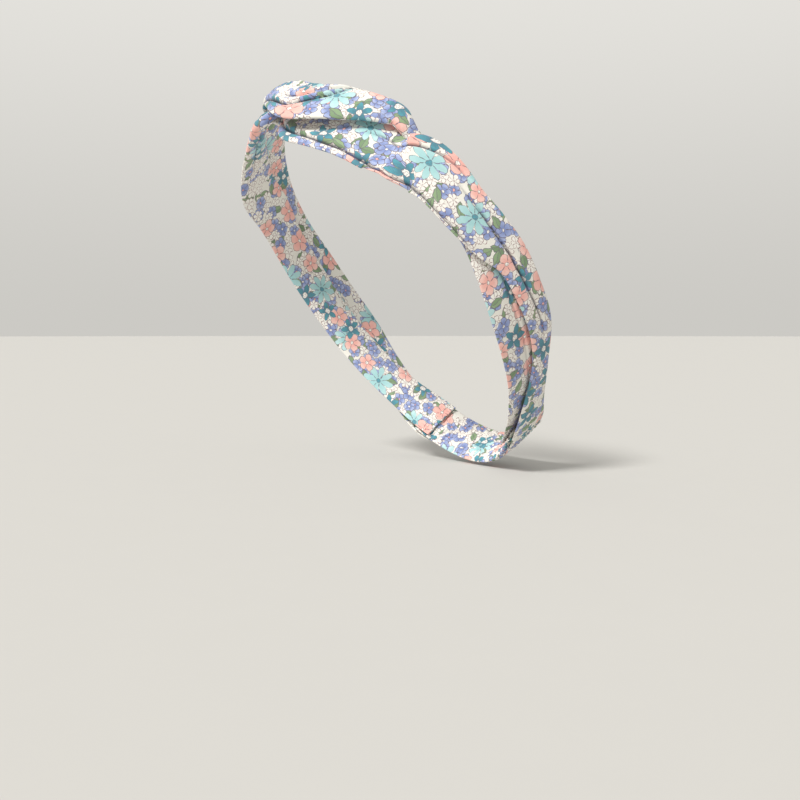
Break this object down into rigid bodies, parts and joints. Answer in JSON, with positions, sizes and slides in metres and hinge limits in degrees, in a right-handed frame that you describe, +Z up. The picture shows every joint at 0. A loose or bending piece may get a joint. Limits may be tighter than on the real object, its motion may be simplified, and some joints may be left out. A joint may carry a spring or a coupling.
{
  "type": "knotted headband",
  "caption": "Soft floral cotton headband: interlocked fabric loops form a knot at the front, and a gathered casing over flat elastic closes it at the nape.",
  "frame": {"origin": "middle of the head opening at its widest, in the plane of the skull line, 105 mm behind the knot and 95 mm ahead of the nape", "axes": "+Z up and -Y ahead of the wearer, +X to the wearer's left, worn with the knot up and forwards"},
  "size_m": [0.1628, 0.1528, 0.1888],
  "materials": {
    "floral_cotton": "fine plain-woven cotton lawn, off-white ground with a small all-over printed flower pattern",
    "knitted_elastic": "white knitted flat elastic with fine ribs along it",
    "sewing_thread": "twisted cream polyester thread"
  },
  "bodies": {
    "right_half": {"right_loop": "floral_cotton", "right_loop_seam": "sewing_thread", "right_join_stitches": "sewing_thread", "right_elastic_bartack": "sewing_thread", "nape_casing": "floral_cotton", "nape_elastic": "knitted_elastic", "casing_seam": "sewing_thread"},
    "left_half": {"left_loop": "floral_cotton", "left_loop_seam": "sewing_thread", "left_join_stitches": "sewing_thread", "left_elastic_bartack": "sewing_thread"}
  },
  "joints": [
    {"name": "knot_pivot", "type": "hinge", "parent": "right_half", "child": "left_half", "pos_m": [0, -0.07, 0.08869], "axis": [0, -0.7431, -0.6691], "range_deg": [-5, 12], "stiffness_Nm_per_rad": 10, "springref_deg": -4.98, "deforming": ["nape_casing", "nape_elastic", "casing_seam"]}
  ]
}
